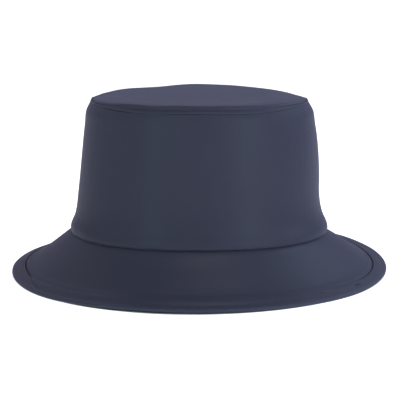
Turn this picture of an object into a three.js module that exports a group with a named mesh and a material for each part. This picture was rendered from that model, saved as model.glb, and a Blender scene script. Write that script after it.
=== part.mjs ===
// Bucket-shaped rain hat in coated cloth, standing by itself on the edge of its brim.
// Millimetres, +Z up. The front faces -Y. The origin is on the floor, under the middle of the hat.
import * as THREE from 'three';

// Cloth
const clothThickness = 1.6;
const bandThickness = 2.2;
const seamGap = 0.3; // left between two pieces that are sewn together

// Oval: every ring is longer from front to back than it is wide
const extraHalfDepth = 13.5;

// Top panel
const topHalfWidth = 74.8; // the domed part, inside its turned-down edge
const topEdgeHeight = 118.6;
const domeRise = 7.5;
const seamHalfWidth = 77.0; // where the turned-down edge meets the side wall
const topSeamHeight = 115.3;

// Crown: how far it leans from upright, in degrees, because the brim under it is not quite even
const leanBack = 0.77;
const leanRight = 0.46;

// Brim
const lipHalfWidth = 90.2;
const brimHalfWidth = 131.4;
const foldHalfWidth = 122.4; // the brim panel's folded outer edge, which laps over the band
const foldFrontRise = 1.2; // how much higher that edge lies at the front than at the sides
const flatHalfWidth = 128.0; // the edge band lies flat on the floor from here outwards
const foldedEdgeShare = 0.7; // thickness of the pressed fold, as a share of the cloth's

// Fineness of the faceted surfaces
const stepsAround = 60;
const stepsAlongWall = 10;
const stepsAlongDome = 6;
const stepsRoundFold = 3;

// Outer face of the side wall, from the top seam down to the widest place of the folded lip.
// sideways: how far the wall bulges to the right at that height
const wallRows = [
  { height: 114.4, halfWidth: 77.4, sideways: 0.1 },
  { height: 111.4, halfWidth: 78.6, sideways: 0.3 },
  { height: 102.0, halfWidth: 80.2, sideways: 0.6 },
  { height: 85.0, halfWidth: 82.1, sideways: 0.75 },
  { height: 68.0, halfWidth: 83.4, sideways: 0.3 },
  { height: 53.0, halfWidth: 84.4, sideways: -0.4 },
  { height: 43.0, halfWidth: 85.9, sideways: -0.3 },
  { height: 38.7, halfWidth: 87.2, sideways: -0.1 },
  { height: 35.0, halfWidth: 89.1, sideways: 0.0 },
  { height: 30.0, halfWidth: lipHalfWidth, sideways: 0.0 },
];

// Middle of the brim panel, from the allowance turned up inside the lip to the folded outer edge
const brimRows = [
  { height: 37.4, halfWidth: 84.4 },
  { height: 33.6, halfWidth: 86.4 },
  { height: 30.4, halfWidth: 87.0 },
  { height: 27.8, halfWidth: 87.8 },
  { height: 25.0, halfWidth: 91.5 },
  { height: 14.3, halfWidth: 106.0 },
  { height: 8.8, halfWidth: 114.0 },
  { height: 6.5, halfWidth: 118.0 },
  { height: 5.0, halfWidth: foldHalfWidth - 0.6 },
];

// Middle of the edge band, from its sewn side under the brim to the folded edge on the floor
const bandRows = [
  { height: 4.9, halfWidth: 116.2 },
  { height: 3.8, halfWidth: 118.5 },
  { height: 3.0, halfWidth: 121.2 },
  { height: 1.7, halfWidth: 126.2 },
  { height: 0.95, halfWidth: flatHalfWidth },
  { height: 0.8, halfWidth: brimHalfWidth - bandThickness / 2 },
];

// How far the brim's edge stands off the floor; 0 degrees is the right side, 90 the back, -90 the front
const edgeRows = [
  { azimuth: -180, lift: 0.6 },
  { azimuth: -167, lift: 0.0 },
  { azimuth: -153, lift: 0.0 },
  { azimuth: -120, lift: 0.1 },
  { azimuth: -75, lift: 0.0 },
  { azimuth: -35, lift: 0.0 },
  { azimuth: -20, lift: 0.5 },
  { azimuth: 0, lift: 1.7 },
  { azimuth: 20, lift: 3.6 },
  { azimuth: 40, lift: 4.8 },
  { azimuth: 60, lift: 3.2 },
  { azimuth: 85, lift: 0.0 },
  { azimuth: 100, lift: 0.0 },
  { azimuth: 125, lift: 0.9 },
  { azimuth: 150, lift: 1.3 },
  { azimuth: 180, lift: 0.6 },
];

// Materials
const coatedCloth = { color: 0x32374a, roughness: 0.55, metalness: 0 };
const topCloth = new THREE.MeshStandardMaterial(coatedCloth);
const wallCloth = new THREE.MeshStandardMaterial(coatedCloth);
const brimCloth = new THREE.MeshStandardMaterial(coatedCloth);
const bandCloth = new THREE.MeshStandardMaterial(coatedCloth);

// Value of one column at a place between the rows of a table, on a smooth curve through the rows
function readTable(rows, keyColumn, column, key) {
  const last = rows.length - 1;
  let row = 0;
  while (row < last - 1 && key > rows[row + 1][keyColumn]) {
    row += 1;
  }
  const slopeAt = (index) => {
    const before = rows[Math.max(0, index - 1)];
    const after = rows[Math.min(last, index + 1)];
    return (after[column] - before[column]) / (after[keyColumn] - before[keyColumn]);
  };
  const start = rows[row];
  const end = rows[row + 1];
  const span = end[keyColumn] - start[keyColumn];
  const share = THREE.MathUtils.clamp((key - start[keyColumn]) / span, 0, 1);
  const startWeight = (1 + 2 * share) * (1 - share) ** 2;
  const endWeight = share * share * (3 - 2 * share);
  const startPull = share * (1 - share) ** 2 * span * slopeAt(row);
  const endPull = share * share * (share - 1) * span * slopeAt(row + 1);
  return startWeight * start[column] + endWeight * end[column] + startPull + endPull;
}

const wallRowsUpward = [...wallRows].reverse();
const sidewaysAt = (height) => readTable(wallRowsUpward, 'height', 'sideways', height);
const edgeLiftAt = (azimuth) => {
  const lift = readTable(edgeRows, 'azimuth', 'lift', THREE.MathUtils.radToDeg(azimuth));
  return Math.max(0, lift);
};

// Points of a table's section, half width across and height up
function sectionPoints(rows) {
  return rows.map((row) => new THREE.Vector2(row.halfWidth, row.height));
}

// Direction square to a line of points at one of them, on the left of its run; on the axis it is straight up
function squareTo(line, index) {
  if (line[index].x === 0) {
    return new THREE.Vector2(0, 1);
  }
  const before = line[Math.max(0, index - 1)];
  const after = line[Math.min(line.length - 1, index + 1)];
  const along = after.clone().sub(before).normalize();
  return new THREE.Vector2(-along.y, along.x);
}

// A line of points moved sideways by a distance, to the left of its run
function shiftLine(line, distance) {
  return line.map((point, index) => point.clone().addScaledVector(squareTo(line, index), distance));
}

// Half circle at the end of a sheet, without its two end points; startSide is where it begins
function foldPoints(centre, startSide, turn) {
  const points = [];
  for (let step = 1; step < stepsRoundFold; step += 1) {
    const angle = (turn * Math.PI * step) / stepsRoundFold;
    points.push(startSide.clone().rotateAround(new THREE.Vector2(), angle).add(centre));
  }
  return points;
}

// Closed section of a sheet of cloth whose middle runs along a line.
// Each free end is rounded like a fold; an end on the axis is left open, for the lathe to close
function sheetSection(line, halfThicknessAt) {
  const side = line.map((point, index) => squareTo(line, index).multiplyScalar(halfThicknessAt(index)));
  const left = line.map((point, index) => point.clone().add(side[index]));
  const right = line.map((point, index) => point.clone().sub(side[index])).reverse();
  const last = line.length - 1;
  const endFold = foldPoints(line[last], side[last], -1);
  const startsOnAxis = line[0].x === 0;
  const startFold = startsOnAxis ? [] : foldPoints(line[0], side[0].clone().negate(), -1);
  const section = [...left, ...endFold, ...right, ...startFold];
  if (THREE.ShapeUtils.area(section) < 0) {
    section.reverse();
  }
  if (!startsOnAxis) {
    section.push(section[0].clone());
  }
  return section;
}

// Ring of a round turned piece put on the oval; within the top panel the oval keeps its shape
function toOval(point) {
  const radius = Math.hypot(point.x, point.y);
  const fullExtra = Math.max(radius, topHalfWidth);
  point.y *= 1 + extraHalfDepth / fullExtra;
}

// A section turned round the Z axis, with every vertex then moved to its own place
function turnedPiece(section, move) {
  const geometry = new THREE.LatheGeometry(section, stepsAround);
  geometry.rotateX(Math.PI / 2);
  const position = geometry.attributes.position;
  const point = new THREE.Vector3();
  for (let index = 0; index < position.count; index += 1) {
    point.fromBufferAttribute(position, index);
    move(point);
    position.setXYZ(index, point.x, point.y, point.z);
  }
  geometry.computeVertexNormals();
  return geometry;
}

function namedMesh(name, geometry, material) {
  const mesh = new THREE.Mesh(geometry, material);
  mesh.name = name;
  return mesh;
}

const crownTilt = new THREE.Euler(
  THREE.MathUtils.degToRad(-leanBack),
  THREE.MathUtils.degToRad(leanRight),
  0,
);

// Crown pieces stand upright in their own group, which leans
function placeOnCrown(point) {
  toOval(point);
  point.x += sidewaysAt(point.z);
}

// Brim pieces lean with the crown at the lip and lie on the floor at the edge
function placeOnBrim(point) {
  const radius = Math.hypot(point.x, point.y);
  const azimuth = Math.atan2(point.y, point.x);
  const outward = THREE.MathUtils.clamp((radius - lipHalfWidth) / (flatHalfWidth - lipHalfWidth), 0, 1);
  const nearFold = Math.min(
    (radius - lipHalfWidth) / (foldHalfWidth - lipHalfWidth),
    (flatHalfWidth - radius) / (flatHalfWidth - foldHalfWidth),
  );
  const frontShare = Math.max(0, -Math.sin(azimuth)) ** 2;
  toOval(point);
  const leaning = point.clone().applyEuler(crownTilt);
  point.z += edgeLiftAt(azimuth);
  point.lerp(leaning, 1 - outward);
  point.z += foldFrontRise * frontShare * Math.max(0, nearFold);
  point.z = Math.max(0, point.z); // the cloth is pressed flat where it meets the floor
}

// Top panel: a dome that steepens towards its rim, then a short edge turned down to the seam
function crownTop() {
  const half = clothThickness / 2;
  const outer = [];
  for (let step = 0; step <= stepsAlongDome; step += 1) {
    const share = Math.sin((Math.PI / 2) * 0.88 * (step / stepsAlongDome));
    const height = topEdgeHeight + domeRise * (1 - share ** 4);
    outer.push(new THREE.Vector2(topHalfWidth * share, height));
  }
  outer.push(new THREE.Vector2(topHalfWidth - 0.3, topEdgeHeight + 0.2));
  outer.push(new THREE.Vector2(topHalfWidth + 0.6, topEdgeHeight - 0.9));
  const line = shiftLine(outer, -half);
  line[0].x = 0;
  line.push(new THREE.Vector2(seamHalfWidth - half, topSeamHeight + seamGap / 2 + half));
  return turnedPiece(sheetSection(line, () => half), placeOnCrown);
}

// Side wall: from the top seam down to the folded lip, which stands out over the brim
function crownWall() {
  const half = clothThickness / 2;
  const outerFace = new THREE.SplineCurve(sectionPoints(wallRows)).getPoints(stepsAlongWall);
  const line = shiftLine(outerFace, -half);
  return turnedPiece(sheetSection(line, () => half), placeOnCrown);
}

// Brim panel: turned up inside the lip, then sloping down to its pressed outer fold
function brimPanel() {
  const half = clothThickness / 2;
  const last = brimRows.length - 1;
  const halfThicknessAt = (index) => (index === last ? half * foldedEdgeShare : half);
  return turnedPiece(sheetSection(sectionPoints(brimRows), halfThicknessAt), placeOnBrim);
}

// Edge band: a folded strip from under the brim's outer fold down to the floor
function edgeBand() {
  const half = bandThickness / 2;
  return turnedPiece(sheetSection(sectionPoints(bandRows), () => half), placeOnBrim);
}

// Assembly
const crown = new THREE.Group();
crown.rotation.copy(crownTilt);
crown.add(namedMesh('crown_top', crownTop(), topCloth));
crown.add(namedMesh('crown_wall', crownWall(), wallCloth));

const group = new THREE.Group();
group.add(crown);
group.add(namedMesh('brim', brimPanel(), brimCloth));
group.add(namedMesh('brim_edge_band', edgeBand(), bandCloth));

export default group;
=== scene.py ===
import math

import bpy
import numpy as np
from mathutils import Euler, Matrix, Vector


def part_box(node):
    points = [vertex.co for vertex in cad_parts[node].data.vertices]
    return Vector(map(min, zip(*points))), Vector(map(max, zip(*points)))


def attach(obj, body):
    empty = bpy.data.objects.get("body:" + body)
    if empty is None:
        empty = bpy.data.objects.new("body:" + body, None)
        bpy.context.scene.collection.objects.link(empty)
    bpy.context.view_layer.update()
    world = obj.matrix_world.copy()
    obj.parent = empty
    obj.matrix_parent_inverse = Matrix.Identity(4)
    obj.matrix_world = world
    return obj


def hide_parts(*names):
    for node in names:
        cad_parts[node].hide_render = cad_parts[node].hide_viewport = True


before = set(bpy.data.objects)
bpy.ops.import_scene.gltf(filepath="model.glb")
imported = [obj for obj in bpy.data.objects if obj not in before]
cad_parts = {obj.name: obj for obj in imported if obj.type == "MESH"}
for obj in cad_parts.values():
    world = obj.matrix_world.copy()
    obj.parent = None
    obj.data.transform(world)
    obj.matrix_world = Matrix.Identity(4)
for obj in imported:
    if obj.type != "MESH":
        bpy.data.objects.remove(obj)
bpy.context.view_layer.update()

# Rain hat in coated navy cloth, standing by itself on the edge of its brim.
# Sizes in the dictionaries are millimetres, and meshes are made in metres.
mm = 0.001
print("frame loaded")

_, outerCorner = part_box("brim_edge_band")

hat = {
    "brimHalfWidth": outerCorner[0] / mm,                        # out to the folded edge
    "extraHalfDepth": (outerCorner[1] - outerCorner[0]) / mm,    # a head is longer than it is wide
    "topHalfWidth": 74.8,                            # inside this the oval keeps its shape
    "leanBack": 0.77,                                # degrees, crown from upright
    "leanRight": 0.46,
    "stepsAround": 1200,
    "curveSteps": 1600,                              # steps that a smooth line is first worked out in
    "roundSteps": 6,                                 # half round of a folded edge
    "insideEvery": 3,                                # the inner face keeps one row in three
    "insideWear": 0.5,                               # how rubbed it is, with any painted highlight, as a share of the outer face
}

azimuth = np.linspace(-math.pi, math.pi, hat["stepsAround"], endpoint=False)   # 0 right, 90 back, -90 front
around = np.degrees(azimuth)[None, :]
outward = np.stack([np.cos(azimuth), np.sin(azimuth), 0 * azimuth], -1)[None]
crownTilt = Euler((-math.radians(hat["leanBack"]), math.radians(hat["leanRight"]), 0)).to_matrix()
tiltRows = np.array(crownTilt)


def unit(vectors):
    return vectors / np.linalg.norm(vectors, axis=-1, keepdims=True)


# Soft hump: 1 where away is 0, and almost nothing three widths from there
def hump(away, wide):
    return np.exp(-0.5 * (away / wide) ** 2)


# 1 at an edge, and down to about a third after each reach
def fade(away, reach):
    return np.exp(-away / reach)


# Smooth curve through the columns of a short table
def readTable(keys, values, at):
    keys, values, at = np.array(keys, float), np.array(values, float), np.asarray(at, float)
    slopes = np.gradient(values, keys)
    row = np.clip(np.searchsorted(keys, at) - 1, 0, len(keys) - 2)
    span = keys[row + 1] - keys[row]
    share = np.clip((at - keys[row]) / span, 0, 1)
    start = values[row] * (1 + 2 * share) * (1 - share) ** 2 + slopes[row] * span * share * (1 - share) ** 2
    end = values[row + 1] * share**2 * (3 - 2 * share) + slopes[row + 1] * span * share**2 * (share - 1)
    return start + end


# Distance along a line of points, from its first point
def runLength(points):
    return np.concatenate([[0], np.cumsum(np.linalg.norm(np.diff(points, axis=0), axis=1))])


# Points on a smooth line through (half width, height) points, closer together at the places in fineAt,
# and how far along the line each one lies
def smoothLine(form):
    points = np.column_stack([form["halfWidth"], form["height"]]).astype(float)
    reach = runLength(points)
    fine = np.linspace(0, reach[-1], hat["curveSteps"])
    dense = np.column_stack([readTable(reach, points[:, i], fine) for i in (0, 1)])
    length = runLength(dense)
    crowd = np.ones_like(length)
    for place, spread, extra in form["fineAt"]:                    # a place below 0 counts from the end
        crowd += extra * hump(length - place % length[-1], spread)
    filled = np.concatenate([[0], np.cumsum(0.5 * (crowd[1:] + crowd[:-1]) * np.diff(length))])
    along = np.interp(np.linspace(0, filled[-1], form["rows"]), filled, length)
    return np.column_stack([np.interp(along, length, dense[:, i]) for i in (0, 1)]), along[:, None]


# Half of a thickness that changes near an end; an end gives the distance from it, its thickness and reach
def halfThick(thickness, *ends):
    return 0.5 * (thickness + sum((other - thickness) * fade(away, reach) for away, other, reach in ends))


# Middle line of cloth whose outer face is given
def middleLine(outer, half):
    along = unit(np.gradient(outer, axis=0))
    return outer + np.column_stack([along[:, 1], -along[:, 0]]) * half


# Soft round bump in degrees round the hat, the short way round
def bumpAt(centre, width):
    return hump((around - centre + 180) % 360 - 180, width)


# Several of these, from rows of middle, spread and height
def bumpsAt(rows):
    return sum(height * bumpAt(centre, width) for centre, width, height in rows)


# Bumps on a ring of cloth, from rows of middle and spread in degrees, half width, spread and height
def ringBumps(rows, radius):
    return sum(height * bumpAt(centre, spread) * hump(radius - halfWidth, wide)
               for centre, spread, halfWidth, wide, height in rows)


# Uneven ripple: waves that close round the hat, each turning a little as it runs along the cloth
def ripple(along, height, fewest, most, drift, seed, count=9):
    dice = np.random.default_rng(seed)
    total = np.zeros((len(along), hat["stepsAround"]))
    for turns in dice.integers(fewest, most + 1, count):
        phase, slant = dice.uniform(0, 2 * math.pi), dice.uniform(-drift, drift)
        total += np.cos(turns * azimuth[None, :] + phase + slant * along)
    return height * total / math.sqrt(count)


# One small pucker for each stitch of a seam, evenly along the oval
def pucker(stitches):
    edge = ovalPlace(np.full((1, 1), hat["brimHalfWidth"]), 0)[0]
    length = runLength(np.vstack([edge, edge[:1]]))
    return np.cos(2 * math.pi * stitches * length[:-1] / length[-1])[None, :]


# Points all round the oval for columns of half widths and heights
def ovalPlace(radius, height):
    depth = radius * (1 + hat["extraHalfDepth"] / np.maximum(radius, hat["topHalfWidth"]))
    return np.stack(np.broadcast_arrays(radius * np.cos(azimuth), depth * np.sin(azimuth), height), -1)


# Normals of a grid of points whose rows run down or outwards, pointing out of the hat
def gridNormals(grid):
    sideways = np.roll(grid, -1, axis=1) - np.roll(grid, 1, axis=1)
    return unit(np.cross(np.gradient(grid, axis=0), sideways))


# The grid with its dents, which stand out of the cloth above 0 and in below it
def dented(grid, dents):
    return grid + gridNormals(grid) * dents[..., None]


# Rows of points for the round of a folded edge; endWay is the way that the cloth ends
def foldRows(edge, normal, endWay, half, flip):
    rows = []
    for step in range(1, hat["roundSteps"]):
        angle = math.pi * step / hat["roundSteps"]
        rows.append(edge + half * (math.cos(angle) * flip * normal + math.sin(angle) * endWay))
    return rows


# Smooth mesh through points in millimetres, which stays with the hat
def addPiece(name, points, faces, materials):
    mesh = bpy.data.meshes.new(name)
    mesh.from_pydata((points * mm).tolist(), [], faces)
    for material in materials:
        mesh.materials.append(material)
    mesh.polygons.foreach_set("use_smooth", np.ones(len(faces), bool))
    mesh.update()
    piece = bpy.data.objects.new(name, mesh)
    bpy.context.scene.collection.objects.link(piece)
    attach(piece, "root")
    return piece


# Cloth of real thickness on a grid of middle points: outer face, folded end, inner face and folded start
def clothPiece(name, middle, half, wear, node, inside, closedTop=False):
    normal = gridNormals(middle)
    half = np.broadcast_to(half[..., None], middle.shape[:2] + (1,))
    wear = np.broadcast_to(wear, middle.shape[:2])
    outer, inner = middle + normal * half, middle - normal * half
    plain = np.unique(np.append(np.arange(0, len(middle), hat["insideEvery"]), len(middle) - 1))
    inner, insideWear = inner[plain][::-1], hat["insideWear"] * wear[plain][::-1]
    endRows = foldRows(middle[-1], normal[-1], unit(middle[-1] - middle[-2]), half[-1], 1)
    startRows = [] if closedTop else foldRows(middle[0], normal[0], unit(middle[0] - middle[1]), half[0], -1)
    rows = np.concatenate([outer, endRows, inner] + ([startRows] if startRows else []))
    rows[..., 2] = np.maximum(rows[..., 2], 0)                     # pressed flat where it meets the floor
    count, turns = rows.shape[:2]
    i, j = np.meshgrid(np.arange(count if startRows else count - 1), np.arange(turns), indexing="ij")
    nextRow, nextTurn = (i + 1) % count, (j + 1) % turns
    here, below = i * turns, nextRow * turns
    quads = np.stack([here + j, below + j, below + nextTurn, here + nextTurn], -1)
    faces = quads.reshape(-1, 4).tolist()
    points = rows.reshape(-1, 3)
    faceRow = i.reshape(-1)
    insideFrom = len(outer) + len(endRows)
    isInside = (faceRow >= insideFrom) & (faceRow < insideFrom + len(inner) - 1)
    if closedTop:                                                  # a fan of triangles on each face
        points = np.vstack([points, outer[0].mean(0), inner[-1].mean(0)])
        last = (count - 1) * turns
        faces += [[count * turns, k, (k + 1) % turns] for k in range(turns)]
        faces += [[count * turns + 1, last + (k + 1) % turns, last + k] for k in range(turns)]
        isInside = np.concatenate([isInside, np.zeros(turns, bool), np.ones(turns, bool)])
    piece = addPiece(name, points, faces, [coatedMaterial, inside])
    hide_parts(node)
    mesh = piece.data
    mesh.polygons.foreach_set("material_index", isInside.astype(np.int32))
    addClothMap(mesh, points, quads, closedTop)
    endWearAndHighlight, startWearAndHighlight = np.repeat(wear[-1:], len(endRows), 0), np.repeat(wear[:1], len(startRows), 0)
    addWearAndPaintedHighlight(mesh, [wear, endWearAndHighlight, insideWear, startWearAndHighlight], closedTop)
    mesh.update()
    print("made", name, sum(len(face) - 2 for face in faces), "triangles")


# Cloth map in metres, for the weave: round the hat and down the cloth, or straight across on the top
def addClothMap(mesh, points, quads, closedTop):
    layer = mesh.uv_layers.new(name="clothMap")
    if closedTop:
        corner = np.empty(len(mesh.loops), np.int32)
        mesh.loops.foreach_get("vertex_index", corner)
        uv = points[corner][:, :2] * mm
    else:
        turns = hat["stepsAround"]
        grid = points.reshape(-1, turns, 3)
        down = runLength(grid[:, 0])
        down = np.append(down, down[-1] + 1)                       # once more, for the last row of faces
        girth = 2 * math.pi * np.hypot(*grid[0, 0, :2])
        i, j = np.meshgrid(np.arange(len(quads)), np.arange(turns), indexing="ij")
        u = np.stack([j, j, j + 1, j + 1], -1) * girth / turns
        v = np.stack([down[i], down[i + 1], down[i + 1], down[i]], -1)
        uv = np.stack([u, v], -1).reshape(-1, 2) * mm
    layer.data.foreach_set("uv", uv.astype(np.float32).reshape(-1))


# How rubbed the coating is at each point, from 0 to 1; the same values also carry the painted highlight on
# the top's rolled edge and on the band's folded edge at the front right
def addWearAndPaintedHighlight(mesh, parts, closedTop):
    values = np.concatenate(parts).reshape(-1)
    if closedTop:
        values = np.append(values, [0, 0])
    mesh.attributes.new("wear", "FLOAT", "POINT").data.foreach_set("value", values.astype(np.float32))


# One socket of a material, usable in sums
class Wire:
    def __init__(self, tree, socket):
        self.tree, self.socket = tree, socket

    def node(self, kind, settings=None, **inputs):
        made = self.tree.nodes.new(kind)
        for name, value in (settings or {}).items():
            if name == "stops":
                ready = made.color_ramp.elements
                for index, (place, colour) in enumerate(value):
                    stop = ready[index] if index < 2 else ready.new(place)
                    stop.position, stop.color = place, colour
            else:
                setattr(made, name, value)
        for name, value in inputs.items():
            self.plug(made, name, value)
        return made

    def plug(self, made, name, value):
        if name.startswith("in") and name[2:].isdigit():
            target = made.inputs[int(name[2:])]
        else:
            wanted = name.replace("_", " ").lower()
            target = next(s for s in made.inputs if s.name.lower() == wanted and s.enabled)
        if isinstance(value, Wire):
            self.tree.links.new(value.socket, target)
        elif value is not None:
            target.default_value = value

    def wire(self, made, output=0):
        return Wire(self.tree, made.outputs[output])

    def math(self, operation, *values):
        given = {f"in{index}": value for index, value in enumerate(values)}
        return self.wire(self.node("ShaderNodeMath", {"operation": operation}, **given))

    def __add__(self, other):
        return self.math("ADD", self, other)

    def __sub__(self, other):
        return self.math("SUBTRACT", self, other)

    def __rsub__(self, other):
        return self.math("SUBTRACT", other, self)

    def __mul__(self, other):
        return self.math("MULTIPLY", self, other)

    def __pow__(self, other):
        return self.math("POWER", self, other)

    __radd__, __rmul__ = __add__, __mul__


def newMaterial(name):
    material = bpy.data.materials.new(name)
    material.use_nodes = True
    material.node_tree.nodes.clear()
    return material, Wire(material.node_tree, None)


def mixColours(w, factor, first, second):
    settings = {"data_type": "RGBA", "blend_type": "MIX"}
    return w.wire(w.node("ShaderNodeMix", settings, in0=factor, in6=first, in7=second), 2)


def coordinates(w, kind):
    return w.wire(w.node("ShaderNodeTexCoord"), kind)


def noiseWire(w, place, scale, detail=3.0, roughness=0.5):
    made = w.node("ShaderNodeTexNoise", None, vector=place, scale=scale, detail=detail, roughness=roughness)
    return w.wire(made)


# Plain weave, from -1 to 1
def weaveWire(w, threadsPerMetre):
    parts = w.node("ShaderNodeSeparateXYZ", None, vector=coordinates(w, "UV"))
    turns = threadsPerMetre * math.pi
    return w.math("SINE", w.wire(parts, 0) * turns) * w.math("SINE", w.wire(parts, 1) * turns)


def reliefWire(w, strength, height):
    return w.wire(w.node("ShaderNodeBump", None, strength=strength, distance=1.0, height=height))


def finishSkin(w, **looks):
    skin = w.node("ShaderNodeBsdfPrincipled", None, **looks)
    w.node("ShaderNodeOutputMaterial", None, surface=w.wire(skin))


coated = {
    "colour": (0.034, 0.035, 0.058, 1),        # navy coating
    "shade": (0.029, 0.030, 0.050, 1),         # where the coating lies thicker
    "rubbed": (0.056, 0.060, 0.096, 1),        # paler coating along rubbed folds and edges, also the colour of the painted highlight on the top's rolled edge and the band's front right rim
    "rubbedAndHighlightShare": 0.30,                       # how much of it shows where the wear and painted highlight are strongest
    "speckled": 0.35,                          # and as specks all over
    "evenShare": 0.35,                      # part of the wear and painted highlight without blotches
    "roughness": 0.55,
    "cloudyRoughness": 0.14,
    "pebblyRoughness": 0.10,
    "rubbedRoughness": 0.06,                   # how much smoother it is rubbed
    "threadsPerMetre": 2300,                   # weave that shows through
    "cloudsPerMetre": 16,
    "blotchesPerMetre": 60,
    "pebblesPerMetre": 420,
    "grainsPerMetre": 1400,
    "weaveDepth": 0.00003,
    "grainDepth": 0.00006,
    "pebbleDepth": 0.000042,
    "relief": 0.55,
    "sheen": 0.14,
    "sheenTint": (0.55, 0.53, 0.95, 1),
    "sheenRoughness": 0.35,
    "film": 0.05,                              # thin clear film on top
    "filmRoughness": 0.42,
    "filmIor": 2.6,
    "gloss": 0.015,
}


# Smooth coated face: matt navy film on a fine weave, with a faint grain, rubbed edges and a paler painted
# highlight where the wear values carry one
def coatedCloth(name):
    material, w = newMaterial(name)
    space = coordinates(w, "Object")
    wear = w.wire(w.node("ShaderNodeAttribute", {"attribute_name": "wear"}), "Fac")
    weave = weaveWire(w, coated["threadsPerMetre"])
    grain = noiseWire(w, space, coated["grainsPerMetre"], 2)
    pebble = noiseWire(w, space, coated["pebblesPerMetre"])
    cloudy = noiseWire(w, space, coated["cloudsPerMetre"], 4, 0.6)
    blotch = noiseWire(w, space, coated["blotchesPerMetre"], 3, 0.6)
    # pale specks of grain, and the paler coating of the wear and painted highlight
    specksWearAndHighlight = grain * coated["speckled"] + wear * (blotch + coated["evenShare"])
    base = mixColours(w, cloudy, coated["shade"], coated["colour"])
    base = mixColours(w, specksWearAndHighlight * coated["rubbedAndHighlightShare"], base, coated["rubbed"])
    rough = coated["roughness"] + (cloudy - 0.5) * coated["cloudyRoughness"]
    rough = rough + (pebble - 0.5) * coated["pebblyRoughness"] - wear * coated["rubbedRoughness"]
    height = weave * coated["weaveDepth"] + grain * coated["grainDepth"] + pebble * coated["pebbleDepth"]
    finishSkin(w, base_color=base, roughness=rough, normal=reliefWire(w, coated["relief"], height),
               sheen_weight=coated["sheen"], sheen_roughness=coated["sheenRoughness"],
               sheen_tint=coated["sheenTint"], specular_ior_level=coated["gloss"],
               coat_weight=coated["film"], coat_roughness=coated["filmRoughness"],
               coat_ior=coated["filmIor"])
    return material


backing = {
    "colour": (0.040, 0.045, 0.068, 1),
    "shade": (0.026, 0.030, 0.048, 1),
    "fuzzyShade": 0.3,                         # how much of the shading is fuzz; the rest is weave
    "roughness": 0.78,
    "cloudyRoughness": 0.12,
    "threadsPerMetre": 1300,
    "cloudsPerMetre": 22,
    "fuzzPerMetre": 900,
    "weaveDepth": 0.00010,
    "fuzzDepth": 0.00010,
    "relief": 0.8,
    "sheen": 0.25,
    "sheenRoughness": 0.5,
    "gloss": 0.25,
}


# Woven inner face: open plain weave, duller than the coated face
def backingCloth(name):
    material, w = newMaterial(name)
    space = coordinates(w, "Object")
    weave = weaveWire(w, backing["threadsPerMetre"]) * 0.5 + 0.5
    fuzz = noiseWire(w, space, backing["fuzzPerMetre"], 4, 0.7)
    cloudy = noiseWire(w, space, backing["cloudsPerMetre"])
    shading = weave * (1 - backing["fuzzyShade"]) + fuzz * backing["fuzzyShade"]
    height = weave * backing["weaveDepth"] + fuzz * backing["fuzzDepth"]
    finishSkin(w, base_color=mixColours(w, shading, backing["shade"], backing["colour"]),
               roughness=cloudy * backing["cloudyRoughness"] + backing["roughness"],
               normal=reliefWire(w, backing["relief"], height), sheen_weight=backing["sheen"],
               sheen_roughness=backing["sheenRoughness"], specular_ior_level=backing["gloss"])
    return material


thread = {
    "colour": (0.060, 0.066, 0.100, 1),
    "shade": (0.030, 0.034, 0.056, 1),
    "roughness": 0.45,
    "fibreRoughness": 0.2,
    "fibreDepth": 0.00006,
    "relief": 0.6,
    "sheen": 0.2,
    "twistPerMetre": 2600,
    "tonesPerMetre": 300,
    "length": 2.7,                             # one stitch
    "thickness": 0.36,
    "rise": 0.75,                              # of half its thickness, above the cloth at its middle
    "dive": 1.6,                               # and how much lower its ends lie
    "rings": 7,
    "sides": 7,
}


def threadMaterial(name):
    material, w = newMaterial(name)
    space = coordinates(w, "Object")
    fibre = noiseWire(w, space, thread["twistPerMetre"], 2)
    tone = noiseWire(w, space, thread["tonesPerMetre"], 2)
    finishSkin(w, base_color=mixColours(w, tone, thread["shade"], thread["colour"]),
               roughness=fibre * thread["fibreRoughness"] + thread["roughness"],
               normal=reliefWire(w, thread["relief"], fibre * thread["fibreDepth"]),
               sheen_weight=thread["sheen"])
    return material


coatedMaterial = coatedCloth("coatedCloth")
backingMaterial = backingCloth("backingCloth")
threadLook = threadMaterial("sewingThread")
print("materials made")


# Side wall

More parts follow.
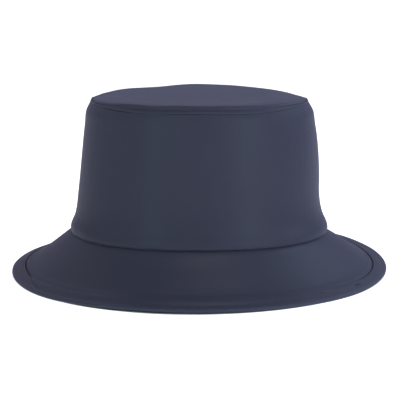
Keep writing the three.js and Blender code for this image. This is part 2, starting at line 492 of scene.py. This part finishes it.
wallForm = {
    # outer face, from the seam under the top to the folded lip
    "height":    [114.97, 114.7, 114.2, 113.3, 111.4, 102, 85, 68,
                  53, 43, 38.7, 35, 32.8, 31.2, 30.2],
    "halfWidth": [77.05, 77.2, 77.45, 77.9, 78.6, 80.2, 82.1, 83.4,
                  84.4, 85.9, 87.2, 89.1, 89.95, 90.2, 90.1],
    # how far the wall leans out to the right, by height
    "bulgeHeight": [30, 38.7, 43, 53, 68, 85, 102, 111.4, 115],
    "bulgeRight":  [0, -0.1, -0.3, -0.4, 0.3, 0.75, 0.6, 0.3, 0.1],
    "thickness": 1.6,
    "seamThickness": 0.75,
    "seamReach": 1.2,                               # how far down the seam makes it thinner
    "lipThickness": 2.1,                            # folded over at the lip
    "lipReach": 1.5,
    "rows": 48,
    "fineAt": [(0, 2.5, 7), (-0.01, 2.5, 5)],       # along the cloth, spread, how many more rows
    # how far the lip hangs lower than its plain ring, by degrees round the hat
    "lipAzimuth": [-180, -160, -140, -120, -92, -60, -45, -25, -8, 10, 30, 150, 180],
    "lipDrop": [1.3, 1.5, 1.0, 0.4, -0.6, 0.3, 0.7, 1.1, 1.4, 1.4, 0.6, 0.8, 1.3],
    "dropReach": 5.0,                               # how far up the cloth above it follows
    "sidesOut": 0.45,                               # both sides stand out a little
    "sidesOutAbove": (0.45, 4.5, 2.6),              # and more under the seam: height, how far down, spread
    # soft folds down the front: degrees round the hat, spread, height
    "folds": [(-112, 8, 0.45), (-76, 9, 0.54), (-96, 8, -0.54), (-134, 9, -0.27), (-57, 7, -0.315)],
    # ripples: height, fewest and most waves round the hat, drift along the cloth, seed (and how many waves)
    "broadRipple": (0.22, 2, 7, 0.02, 11),
    "fineRipple": (0.025, 30, 90, 0.5, 14, 14),
    "lipRipple": (0.12, 8, 26, 0.1, 13),
    "lipRippleReach": 5.0,
    "seamRipple": (0.02, 70, 150, 0.25, 12),
    "gathers": 0.02,                                # one for each stitch of the seam, among that ripple
    "gatherReach": 3.0,
    "backSeam": (0.45, 15),                         # depth of its groove, seed
    "lipRubbed": (0.6, 1.4),                        # how rubbed, and how far up
    "seamRubbed": (0.3, 0.8),                       # the same under the top seam, and how far down
}


# The seam under the top lies higher at the sides than in front; near is 1 at the seam and 0 away from it
def seamSideShift(near):
    side = np.abs(np.cos(azimuth))[None, :] ** topForm["sideSeamPower"]
    shift = np.zeros((len(near), hat["stepsAround"], 3))
    shift[..., 0] = -topForm["sideSeamIn"] * np.cos(azimuth)[None, :] ** 3 * near
    shift[..., 2] = (topForm["sideSeamRise"] * side + bumpsAt(topForm["frontSeamRise"])) * near
    return shift


def placeOnCrown(radius, height):
    place = ovalPlace(radius, height)
    place[..., 0] += readTable(wallForm["bulgeHeight"], wallForm["bulgeRight"], height)
    return place @ tiltRows.T


backSeam = {
    # groove and the cloth drawn up beside it: degrees round the hat, spread, height as a share of the depth
    "bumps": [(90, 0.30, -1), (90, 3.0, 0.12)],
    "gathersAt": (90, 2.0),
    "gathers": (0.10, 120, 170, 0.5),
}


# Plain seam that closes a panel at the back
def backSeamDents(along, depth, seed):
    gathers = bumpAt(*backSeam["gathersAt"]) * ripple(along, *backSeam["gathers"], seed)
    return depth * (bumpsAt(backSeam["bumps"]) + gathers)


def makeWall():
    outer, reach = smoothLine(wallForm)
    fromTop, fromLip = reach, reach[-1] - reach
    half = halfThick(wallForm["thickness"], (fromTop, wallForm["seamThickness"], wallForm["seamReach"]),
                     (fromLip, wallForm["lipThickness"], wallForm["lipReach"]))
    line = middleLine(outer, half)
    middle = placeOnCrown(line[:, :1], line[:, 1:])
    belly = np.sin(math.pi * np.clip(fromTop / reach[-1], 0, 1))
    sides = np.cos(azimuth)[None, :] ** 2
    dents = belly * ripple(reach, *wallForm["broadRipple"])
    dents += belly * (wallForm["sidesOut"] * sides + bumpsAt(wallForm["folds"]))
    height, down, spread = wallForm["sidesOutAbove"]
    dents += height * sides * hump(fromTop - down, spread)
    gathers = wallForm["gathers"] * pucker(topForm["stitches"]) + ripple(reach, *wallForm["seamRipple"])
    dents += gathers * fade(fromTop, wallForm["gatherReach"])
    dents += ripple(reach, *wallForm["lipRipple"]) * fade(fromLip, wallForm["lipRippleReach"])
    dents += ripple(reach, *wallForm["fineRipple"]) + backSeamDents(reach, *wallForm["backSeam"])
    middle = dented(middle, dents) + seamSideShift(fade(fromTop, topForm["sideSeamReach"]))
    drop = readTable(wallForm["lipAzimuth"], wallForm["lipDrop"], around)
    middle[..., 2] -= drop * fade(fromLip, wallForm["dropReach"])
    (lipRubbed, upTo), (seamRubbed, downTo) = wallForm["lipRubbed"], wallForm["seamRubbed"]
    wear = lipRubbed * fade(fromLip, upTo) + seamRubbed * fade(fromTop, downTo)
    clothPiece("crown_wall_cloth", middle, half, wear, "crown_wall", backingMaterial)


# Top panel

topForm = {
    "edgeHeight": 118.6,
    "domeRise": 7.5,
    "domeShare": (0.012, 0.925, 14),             # of the half width: first, last and how many points
    # outer face of the roll at the edge, the hollow under it and the strip turned down to the seam
    "halfWidth": [71.0, 73.0, 74.3, 74.85, 75.05, 75.25,
                  75.7, 76.3, 76.75, 76.95, 77.02, 77.05],
    "height":    [120.15, 119.55, 119.05, 118.7, 118.45, 118.2,
                  117.75, 117.1, 116.5, 116.15, 115.92, 115.75],
    "thickness": 1.6,
    "seamThickness": 0.75,
    "seamReach": 1.0,
    "rows": 54,
    "fineAt": [(-2.5, 2.5, 9)],
    # the seam's line: higher and further in at both sides, and a little higher in front
    "sideSeamRise": 3.1,
    "sideSeamPower": 4.5,
    "sideSeamIn": 1.5,
    "sideSeamReach": 2.2,                        # how far down the wall follows it
    "frontSeamRise": [(-93, 12, 0.5)],
    # how much higher the cloth lies on the way to its rolled edge at the front
    "rollHalfWidth": [56, 60, 64, 66, 69.2, 71, 73, 74.3, 74.85, 75.15, 76, 80],
    "rollRise": [0, 0, 0.15, 0.45, 1.0, 1.1, 1.0, 0.7, 0.33, 0.1, 0, 0],
    "rollPower": 0.75,
    # and how much more just above the hollow in the middle of the front
    "bulgeHalfWidth": [68, 70, 72, 73.5, 74.4, 74.85, 75.05, 75.3, 80],
    "bulgeRise": [0, 0.05, 0.2, 0.5, 0.8, 0.55, 0.1, 0, 0],
    "bulgeAt": (-97, 26),
    # hollow under the roll: half width, spread, depth, and how much deeper round the hat and at both corners
    "hollowAt": 75.05,
    "hollowWide": 0.85,
    "hollowDepth": 0.12,
    "hollowDeeper": [(-90, 42, 0.28), (-118, 8, 0.5), (-95, 5, 0.15), (-70, 8, 0.05),
                     (-168, 4, 0.5), (-13, 4, 0.5)],
    # the roll: how far inside the hollow, spread, where it stands up more, and its ripple
    "rollInside": 2.2,
    "rollWide": 1.3,
    "rollBumps": [(0, 16, 0.12), (180, 16, 0.12), (-90, 42, 0.1),
                  (-125, 6, 0.25), (-103, 4, 0.22), (-114, 6, -0.25)],
    "rollRipple": (0.08, 9, 24, 0.2, 21),
    "stripReach": 3.2,                           # from the hollow down to where the strip follows the seam
    "stitches": 159,
    "gathers": 0.03,
    "gatherReach": 2.5,
    "edgeRipple": (0.18, 4, 14, 0.06, 24),
    "edgeRippleReach": 26.0,
    # soft dents of the dome: right of the middle, behind it, spread and height
    "dents": [(-58, 16, 13, 1.2), (-34, 48, 15, -0.45), (-4, 54, 13, 0.9), (64, 8, 13, 0.35),
              (20, -40, 22, -0.3), (-74, 0, 3.2, -1.5), (-66.5, 3, 4.2, 0.9), (75, 0, 2.5, -0.8),
              (24, 56, 12, 0.4)],
    # painted highlight, a paler band where the cloth bends down to the roll: half width, spread, how strong,
    # and how unevenly
    "rubbedAt": 63,
    "rubbedWide": 6.5,
    "rubbed": 0.55,
    "rubbedRipple": (0.25, 3, 12, 0.1, 25),
    "seamRubbed": (0.3, 0.8),
}


def makeTop():
    share = np.linspace(*topForm["domeShare"])
    domeHeight = topForm["edgeHeight"] + topForm["domeRise"] * (1 - share**4)
    whole = {"halfWidth": list(hat["topHalfWidth"] * share) + topForm["halfWidth"],
             "height": list(domeHeight) + topForm["height"]}
    outer, reach = smoothLine(topForm | whole)
    fromSeam = reach[-1] - reach
    half = halfThick(topForm["thickness"], (fromSeam, topForm["seamThickness"], topForm["seamReach"]))
    line = middleLine(outer, half)
    middle = placeOnCrown(line[:, :1], line[:, 1:])
    radius = outer[:, :1]
    rise = readTable(topForm["rollHalfWidth"], topForm["rollRise"], radius)
    middle[..., 2] += rise * np.maximum(0, -np.sin(azimuth))[None, :] ** topForm["rollPower"]
    bulge = np.clip(readTable(topForm["bulgeHalfWidth"], topForm["bulgeRise"], radius), 0, None)
    middle[..., 2] += bulge * bumpAt(*topForm["bulgeAt"])
    fromHollow = reach - reach[np.argmax(radius > topForm["hollowAt"])]
    hollow = hump(fromHollow, topForm["hollowWide"])
    roll = hump(fromHollow + topForm["rollInside"], topForm["rollWide"])
    dents = -hollow * (topForm["hollowDepth"] + bumpsAt(topForm["hollowDeeper"]))
    dents += roll * (bumpsAt(topForm["rollBumps"]) + ripple(reach, *topForm["rollRipple"]))
    dents += topForm["gathers"] * fade(fromSeam, topForm["gatherReach"]) * pucker(topForm["stitches"])
    uneven = (reach / reach[-1]) ** 2 * fade(fromSeam, topForm["edgeRippleReach"])
    dents += uneven * ripple(reach, *topForm["edgeRipple"])
    middle = dented(middle, dents) + seamSideShift(np.clip(fromHollow / topForm["stripReach"], 0, 1))
    for right, behind, spread, height in topForm["dents"]:
        middle[..., 2] += height * hump(np.hypot(middle[..., 0] - right, middle[..., 1] - behind), spread)
    # painted highlight across the bend down to the roll, and real rubbing along the seam
    rubbed = topForm["rubbed"] * hump(radius - topForm["rubbedAt"], topForm["rubbedWide"])
    seamRubbed, upTo = topForm["seamRubbed"]
    wear = rubbed * (1 + ripple(reach, *topForm["rubbedRipple"])) + seamRubbed * fade(fromSeam, upTo)
    clothPiece("crown_top_cloth", middle, half, wear, "crown_top", backingMaterial,
               closedTop=True)


# Brim and its edge band

edgeForm = {
    # how far the brim's edge stands off the floor, by degrees round the hat
    "azimuth": [-180, -167, -150, -130, -107, -85, -70, -38, -20, 0,
                20, 40, 60, 85, 100, 125, 150, 166, 180],
    "lift":    [1.25, 0.45, 0, 0.3, 1.0, 0.7, 0.35, 0, 0.55, 1.75,
                3.6, 4.8, 3.2, 0, 0, 0.9, 1.5, 1.7, 1.25],
    "lipHalfWidth": 90.2,
    "foldHalfWidth": 122.4,
    "foldFrontRise": 0.6,
    "flatHalfWidth": 128.0,
    "shiftFrom": 124.6,                                 # the band takes up the seam's shift between these
    "shiftTo": 130.3,
    # the seam between brim and band: how far out of its plain oval, and how open, by degrees round the hat
    "seamAzimuth": [-180, -172, -165, -157, -140, -60, -42, -32, -25, -18,
                    -10, 10, 26, 60, 120, 150, 163, 176, 180],
    "seamOut":     [-0.4, -0.3, -0.2, 0.4, 0.4, 0.2, 0.9, 1.9, 1.8, 1.1,
                    0, -3.0, -6.0, -6.5, -5.0, -3.5, -1.9, -0.7, -0.4],
    "seamOpen":    [1, 1, 0.7, 0.12, 0, 0, 0, 0.15, 0.45, 0.85,
                    1, 1, 1, 1, 1, 1, 1, 1, 1],
    "farSharpness": 2.2,                                # how fast the far side's form starts at both sides
    # soft hollow, ridge and hollow along the front of brim and band: half width, spread, height
    "frontWaves": [(118.0, 2.1, -0.3), (122.3, 1.4, 0.3), (126.5, 1.5, -0.4)],
    "wavesAt": (-84, 27),                               # middle and spread of these, in degrees
    # how much further out the rim reaches: middle and spread in degrees, how far; and from where to where
    "reachOut": [(-43, 16, 1.2), (-138, 12, 1.3)],
    "reachFrom": 124,
    "reachTo": 130,
}

brimForm = {
    # middle of the panel, from the allowance inside the lip to the fold over the band
    "halfWidth": [84.4, 86.4, 87.0, 87.8, 91.5, 98.5, 106.0, 114.0, 118.0, 119.8, 121.0, 121.6, 121.85],
    "height":    [37.4, 33.6, 30.4, 27.8, 25.0, 19.6, 14.3, 8.8, 6.6, 5.9, 5.38, 5.12, 5.0],
    "thickness": 1.6,
    "foldThickness": 1.15,
    "foldReach": 0.7,
    "rows": 48,
    "fineAt": [(0, 3, 2), (-0.01, 3, 5)],
    "lipFrontRise": (1.6, 89.5, 4.0),            # up against the lip in front: height, half width, spread
    # broad dents: degrees round the hat, spread, half width, spread, height
    "dents": [(5, 28, 90, 4.5, -1.0), (150, 16, 96, 5, 0.9), (152, 14, 108, 5, -0.6)],
    "slopeFrom": 93,                             # the ripples start here and are whole further out
    "slopeTo": 113,
    # soft folds down the slope in front: degrees round the hat, spread, height
    "folds": [(-74, 9, 0.45), (-52, 8, -0.315), (-105, 9, -0.225)],
    "broadRipple": (0.32, 3, 8, 0.03, 31),
    "heldFlat": 6.0,                             # how far from the seam the broad ripple is held flat
    "fineRipple": (0.02, 30, 90, 0.5, 34, 14),
    # welt along the open seam: how far from the fold, spread, height, where it is higher, and its ripple
    "weltAt": 2.2,
    "weltWide": 1.1,
    "weltRise": 0.10,
    "weltHigher": [(150, 14, 0.14)],
    "weltRipple": (0.04, 30, 90, 0.4, 32),
    "gathers": 0.05,
    "gatherReach": 2.5,
    "tuck": (172, 0.7, 3.6, 1.6, 0.6),           # degrees, spread, distance from the fold, spread, depth
    "openDip": 0.55,                             # how far its edge tucks down where the seam is open
    "farDip": 0.9,                               # and how much more at the far side, as a share of that
    "dipWide": 1.0,
    "openBack": 0.25,                            # how far it stands back from the band there
    "backWide": 1.2,
    "closedDip": 0.22,                           # and how far its edge sinks level with the band in front
    "closedReach": 3.2,
    "backSeam": (0.40, 35),                      # depth of its groove, seed
    "rubbedReach": 1.2,
    "weltRubbed": 0.3,
}

bandForm = {
    # middle of the strip, from under the brim to the folded edge, with the seam open and then shut
    "halfWidth":  [116.2, 118.5, 119.7, 121.0, 121.9, 122.55, 123.15, 124.4, 126.2, 128.2, 129.5, 130.3],
    "height":     [4.9, 3.85, 3.35, 2.7, 2.1, 1.7, 4.45, 3.95, 2.95, 1.95, 1.4, 1.02],
    "shutHeight": [5.2, 4.6, 5.68, 5.38, 5.05, 4.8, 4.55, 3.85, 2.8, 1.85, 1.4, 1.05],
    "half":       [1.0, 0.8, 0.5, 0.45, 0.45, 0.45, 0.6, 0.9, 1.1, 1.15, 1.15, 1.1],     # of its thickness
    "rows": 44,
    "fineAt": [(6.4, 0.8, 3)],
    "stitches": 240,
    "seamHalfWidth": 121.7,                      # at the right side, where the stitches lie
    "gathers": 0.02,
    "gatherReach": 3.0,
    "shownFrom": 121.8,                          # under the brim up to here, and free a little further out
    "shownOver": 1.5,
    # crest beside the seam: half width and spread
    "crestAt": 123.4,
    "crestWide": 1.6,
    "crestRipple": (0.02, 40, 120, 0.5, 41),
    "ripple": (0.06, 6, 20, 0.1, 42),
    "farCrest": 1.0,                             # how much higher it stands along the seam at the back
    "farCrestWide": 0.8,
    # creases across the band: from and to in degrees and half width, how wide and how deep
    "creases": [(-160, 122.2, -144, 128.2, 0.6, 0.6)],
    # small puckers: degrees round the hat, spread, half width, spread, height
    "puckers": [(-36, 0.9, 125.4, 0.5, -1.4), (-35, 1.3, 124.4, 0.6, 0.5), (-51.5, 1.6, 123.9, 0.45, 0.8),
                (-60, 4.0, 123.9, 0.5, 0.4), (-48, 1.5, 129.4, 0.5, 0.2), (-14, 11, 125.8, 0.7, 0.2)],
    "rubbedReach": 1.3,
    "rubbedMore": [(-50, 18, 1.3)],              # painted highlight on the folded edge at the front right: degrees round the hat, spread, how much
    "crestRubbed": 0.3,
}

seamOpen = np.clip(readTable(edgeForm["seamAzimuth"], edgeForm["seamOpen"], around), 0, 1)
farSide = np.clip(edgeForm["farSharpness"] * np.sin(azimuth), 0, 1)[None, :]


def placeOnBrim(radius, height):
    lip, fold, flat = edgeForm["lipHalfWidth"], edgeForm["foldHalfWidth"], edgeForm["flatHalfWidth"]
    toFloor = np.clip((radius - lip) / (flat - lip), 0, 1)[..., None]
    nearFold = np.clip(np.minimum((radius - lip) / (fold - lip), (flat - radius) / (flat - fold)), 0, None)
    fromRim = np.clip((edgeForm["shiftTo"] - radius) / (edgeForm["shiftTo"] - edgeForm["shiftFrom"]), 0, 1)
    follow = np.clip((radius - lip) / (fold - lip), 0, 1) ** 2 * fromRim**2 * (3 - 2 * fromRim)
    seamOut = readTable(edgeForm["seamAzimuth"], edgeForm["seamOut"], around)
    standing = ovalPlace(radius + seamOut * follow, height)
    leaning = standing @ tiltRows.T
    standing[..., 2] += np.maximum(0, readTable(edgeForm["azimuth"], edgeForm["lift"], around))
    place = standing * toFloor + leaning * (1 - toFloor)
    place[..., 2] += edgeForm["foldFrontRise"] * np.maximum(0, -np.sin(azimuth)) ** 2 * nearFold
    return place


def frontWave(radius):
    waves = sum(height * hump(radius - place, wide) for place, wide, height in edgeForm["frontWaves"])
    return waves * bumpAt(*edgeForm["wavesAt"])


def makeBrim():
    line, reach = smoothLine(brimForm)
    radius, fromFold = line[:, :1], reach[-1] - reach
    half = halfThick(brimForm["thickness"], (fromFold, brimForm["foldThickness"], brimForm["foldReach"]))
    middle = placeOnBrim(radius, line[:, 1:])
    rise, riseAt, riseWide = brimForm["lipFrontRise"]
    middle[..., 2] += rise * np.maximum(0, -np.sin(azimuth))[None, :] ** 2 * hump(radius - riseAt, riseWide)
    middle[..., 2] += ringBumps(brimForm["dents"], radius)
    slope = np.clip((radius - brimForm["slopeFrom"]) / (brimForm["slopeTo"] - brimForm["slopeFrom"]), 0, 1)
    welt = hump(fromFold - brimForm["weltAt"], brimForm["weltWide"])
    weltRise = brimForm["weltRise"] + bumpsAt(brimForm["weltHigher"])
    weltRise = weltRise + ripple(reach, *brimForm["weltRipple"])
    dents = slope * (1 - hump(fromFold, brimForm["heldFlat"])) * ripple(reach, *brimForm["broadRipple"])
    dents += np.sin(math.pi * slope) * bumpsAt(brimForm["folds"])
    dents += welt * weltRise * seamOpen
    gathers = brimForm["gathers"] * fade(fromFold, brimForm["gatherReach"])
    dents += gathers * seamOpen * pucker(bandForm["stitches"])
    dents += slope * ripple(reach, *brimForm["fineRipple"])
    tuckAt, tuckWide, tuckFrom, tuckLong, tuckDeep = brimForm["tuck"]
    dents -= tuckDeep * hump(fromFold - tuckFrom, tuckLong) * bumpAt(tuckAt, tuckWide)
    dip = brimForm["openDip"] * seamOpen * (1 + brimForm["farDip"] * farSide)
    dents -= dip * hump(fromFold, brimForm["dipWide"])
    dents -= brimForm["closedDip"] * (1 - seamOpen) * fade(fromFold, brimForm["closedReach"])
    dents += frontWave(radius) + slope * backSeamDents(reach, *brimForm["backSeam"])
    middle = dented(middle, dents)
    middle -= (brimForm["openBack"] * seamOpen * hump(fromFold, brimForm["backWide"]))[..., None] * outward
    wear = (fade(fromFold, brimForm["rubbedReach"]) + brimForm["weltRubbed"] * welt) * seamOpen
    clothPiece("brim_cloth_panel", middle, half, wear, "brim", coatedMaterial)


def makeBand():
    line, reach = smoothLine(bandForm)
    radius, fromEdge = line[:, :1], reach[-1] - reach
    half = readTable(bandForm["halfWidth"], bandForm["half"], radius)
    shutHeight = readTable(bandForm["halfWidth"], bandForm["shutHeight"], radius)
    middle = placeOnBrim(radius, line[:, 1:] * seamOpen + shutHeight * (1 - seamOpen))
    shown = np.clip((radius - bandForm["shownFrom"]) / bandForm["shownOver"], 0, 1)
    fromCrest = radius - bandForm["crestAt"]
    crest = hump(fromCrest, bandForm["crestWide"])
    gathers = bandForm["gathers"] * fade(np.maximum(fromCrest, 0), bandForm["gatherReach"])
    dents = gathers * shown * seamOpen * pucker(bandForm["stitches"])
    dents += crest * ripple(reach, *bandForm["crestRipple"]) + shown * ripple(reach, *bandForm["ripple"])
    dents += bandForm["farCrest"] * farSide * hump(fromCrest, bandForm["farCrestWide"])
    dents += frontWave(radius) + ringBumps(bandForm["puckers"], radius)
    for first, halfFirst, last, halfLast, wide, deep in bandForm["creases"]:
        share = (around - first) / (last - first)
        across = radius - halfFirst - (halfLast - halfFirst) * share
        dents -= deep * hump(across, wide) * np.exp(-(2 * np.abs(share - 0.5)) ** 6)   # fades at both ends
    middle = dented(middle, dents)
    toRim = np.clip((radius - edgeForm["reachFrom"]) / (edgeForm["reachTo"] - edgeForm["reachFrom"]), 0, 1)
    middle += (toRim * bumpsAt(edgeForm["reachOut"]))[..., None] * outward
    # rubbed folded edge, with a painted highlight on it at the front right
    wear = fade(fromEdge, bandForm["rubbedReach"]) * (1 + bumpsAt(bandForm["rubbedMore"]))
    wear += bandForm["crestRubbed"] * crest * seamOpen
    clothPiece("brim_edge_cloth", middle, half, wear, "brim_edge_band", coatedMaterial)
    return middle, half


# Row of short thread stitches laid on a closed line of points, with the cloth's normals
def stitchRow(name, route, normals, count, shownAt):
    closed, closedNormals = np.vstack([route, route[:1]]), np.vstack([normals, normals[:1]])
    length = runLength(closed)
    rings, sides, radius = thread["rings"], thread["sides"], thread["thickness"] / 2
    run = np.linspace(-1, 1, rings)
    starts = (np.arange(count) + 0.5) * length[-1] / count
    starts = starts[np.interp(starts, length, np.append(shownAt, shownAt[0])) > 0.5]
    count = len(starts)
    wrapped = (starts[:, None] + run[None, :] * thread["length"] / 2) % length[-1]
    centre = np.stack([np.interp(wrapped, length, closed[:, k]) for k in range(3)], -1)
    normal = unit(np.stack([np.interp(wrapped, length, closedNormals[:, k]) for k in range(3)], -1))
    dive = radius * (thread["rise"] - thread["dive"] * np.abs(run) ** 3)     # both ends go into the cloth
    centre = centre + normal * dive[None, :, None]
    forward = unit(np.gradient(centre, axis=1))
    side = unit(np.cross(forward, normal))
    upward = np.cross(side, forward)
    thick = radius * np.sqrt(np.clip(1.04 - np.abs(run) ** 4, 0.04, 1))      # nearly pointed ends
    turn = np.linspace(0, 2 * math.pi, sides, endpoint=False)
    circle = np.cos(turn)[:, None] * side[:, :, None] + np.sin(turn)[:, None] * upward[:, :, None]
    points = centre[:, :, None] + thick[None, :, None, None] * circle
    i, j = np.meshgrid(np.arange(rings - 1), np.arange(sides), indexing="ij")
    here, nextSide = i * sides + j, i * sides + (j + 1) % sides
    quad = np.stack([here, nextSide, nextSide + sides, here + sides], -1)
    firsts = np.arange(count) * rings * sides
    faces = (quad.reshape(1, -1, 4) + firsts[:, None, None]).reshape(-1, 4).tolist()
    for first in firsts.tolist():
        faces.append(list(range(first + sides - 1, first - 1, -1)))
        faces.append(list(range(first + (rings - 1) * sides, first + rings * sides)))
    addPiece(name, points.reshape(-1, 3), faces, [threadLook])
    print("made", name, count, "stitches")


makeWall()
makeTop()
makeBrim()
bandMiddle, bandHalf = makeBand()

rightSide = hat["stepsAround"] // 2
grooveRow = int(np.argmin(np.abs(bandMiddle[:, rightSide, 0] - bandForm["seamHalfWidth"])))
grooveNormals = gridNormals(bandMiddle)[grooveRow]
stitchRow("brim_groove_stitches", bandMiddle[grooveRow] + grooveNormals * bandHalf[grooveRow], grooveNormals,
          bandForm["stitches"], seamOpen[0])


# Plain floor, soft studio light and the camera

studio = {
    "floorColour": (0.86, 0.86, 0.86, 1),
    "floorRoughness": 0.75,
    "floorGloss": 0.2,
    "floorMottle": 0.06,         # how much the roughness varies
    "mottlesPerMetre": 3.0,
    "floorGlow": 0.70,           # lit from below outside the hat, as a light table is
    "dimAcross": (0.1300, 0.1455),  # metres, half width and half depth of the unlit oval under the hat
    "floorSize": 60.0,           # metres
    # brightness of the surroundings from the horizon (0) to straight overhead (1)
    "surround": [(0, 0.04), (0.14, 0.04), (0.33, 0.88), (0.62, 0.47), (1, 0.15)],
    # softboxes: name, place in metres, width, height, watts and colour
    "softboxes": [
        ("topSoftbox", (0.12, -0.3, 1.35), 0.7, 0.45, 3.7, (0.97, 0.86, 0.85)),
        ("backSoftbox", (-0.05, 0.95, 1.1), 0.8, 0.4, 4.5, (0.85, 0.75, 1)),
        ("backRightSoftbox", (0.9, 0.75, 0.95), 0.5, 0.5, 4.6, (0.55, 0.76, 1)),
        ("rightSoftbox", (1.25, -0.9, 0.6), 0.8, 1.4, 10.8, (0.64, 0.83, 1)),
        ("rightSideSoftbox", (1.3, 0.35, 0.5), 0.5, 0.4, 1.8, (0.7, 0.85, 1)),
        ("leftSoftbox", (-1.1, -1.05, 0.6), 0.5, 1.4, 4.2, (0.5, 1, 0.9)),
    ],
    "lightAim": (0, 0, 0.08),
}


def makeFloor():
    bpy.ops.mesh.primitive_plane_add(size=studio["floorSize"])
    floor = bpy.context.object
    floor.name = "studioFloor"
    material, w = newMaterial("paleFloor")
    space = coordinates(w, "Object")
    mottled = noiseWire(w, space, studio["mottlesPerMetre"], 2)
    rough = mottled * studio["floorMottle"] + studio["floorRoughness"]
    parts = w.node("ShaderNodeSeparateXYZ", None, vector=space)
    across, deep = (w.wire(parts, index) * (1 / reach) for index, reach in enumerate(studio["dimAcross"]))
    glow = mixColours(w, w.math("GREATER_THAN", across**2 + deep**2, 1.0), (0, 0, 0, 1), (1, 1, 1, 1))
    finishSkin(w, base_color=studio["floorColour"], roughness=rough, specular_ior_level=studio["floorGloss"],
               emission_color=glow, emission_strength=studio["floorGlow"])
    floor.data.materials.append(material)


def areaLight(name, place, width, height, watts, colour):
    data = bpy.data.lights.new(name, "AREA")
    data.shape, data.size, data.size_y = "RECTANGLE", width, height
    data.energy, data.color = watts, colour
    light = bpy.data.objects.new(name, data)
    light.location = place
    light.rotation_euler = (Vector(studio["lightAim"]) - Vector(place)).to_track_quat("-Z", "Y").to_euler()
    bpy.context.scene.collection.objects.link(light)


def makeLights():
    world = bpy.data.worlds.new("softSurround")
    bpy.context.scene.world = world
    world.use_nodes = True
    w = Wire(world.node_tree, None)
    direction = w.node("ShaderNodeSeparateXYZ", None, vector=coordinates(w, "Generated"))
    stops = [(place, (grey, grey, grey, 1)) for place, grey in studio["surround"]]
    shade = w.node("ShaderNodeValToRGB", {"stops": stops}, fac=w.wire(direction, 2))
    world.node_tree.links.new(shade.outputs[0], world.node_tree.nodes["Background"].inputs["Color"])
    for softbox in studio["softboxes"]:
        areaLight(*softbox)


view = {
    "distance": 1000.0,          # from the middle of the hat, with its crown upright
    "height": 193.25,
    "aimHeight": 47.25,
    "pixelSize": 0.705,          # at the middle of the hat
    "frameWidth": 400,           # pixels
    "offCentre": (0.8, 0.5),     # pixels that the hat stands left of and below the frame's middle
    "sensorWidth": 36,
    "clipEnd": 200,              # metres
}


def makeCamera():
    place = crownTilt @ Vector((0, -view["distance"], view["height"]))
    aim = crownTilt @ Vector((0, 0, view["aimHeight"]))
    forward = (aim - place).normalized()
    right = forward.cross(crownTilt @ Vector((0, 0, 1))).normalized()
    upward = right.cross(forward)
    offRight, offDown = view["offCentre"]
    place += (right * offRight + upward * offDown) * view["pixelSize"]
    data = bpy.data.cameras.new("photoCamera")
    data.sensor_width = view["sensorWidth"]
    data.lens = (aim - place).length / view["pixelSize"] / view["frameWidth"] * view["sensorWidth"]
    data.clip_end = view["clipEnd"]
    camera = bpy.data.objects.new("photoCamera", data)
    camera.matrix_world = Matrix([right, upward, -forward]).transposed().to_4x4()
    camera.location = place * mm
    bpy.context.scene.collection.objects.link(camera)
    bpy.context.scene.camera = camera


makeFloor()
makeLights()
makeCamera()
bpy.context.scene.view_settings.view_transform = "Standard"
print("studio made")
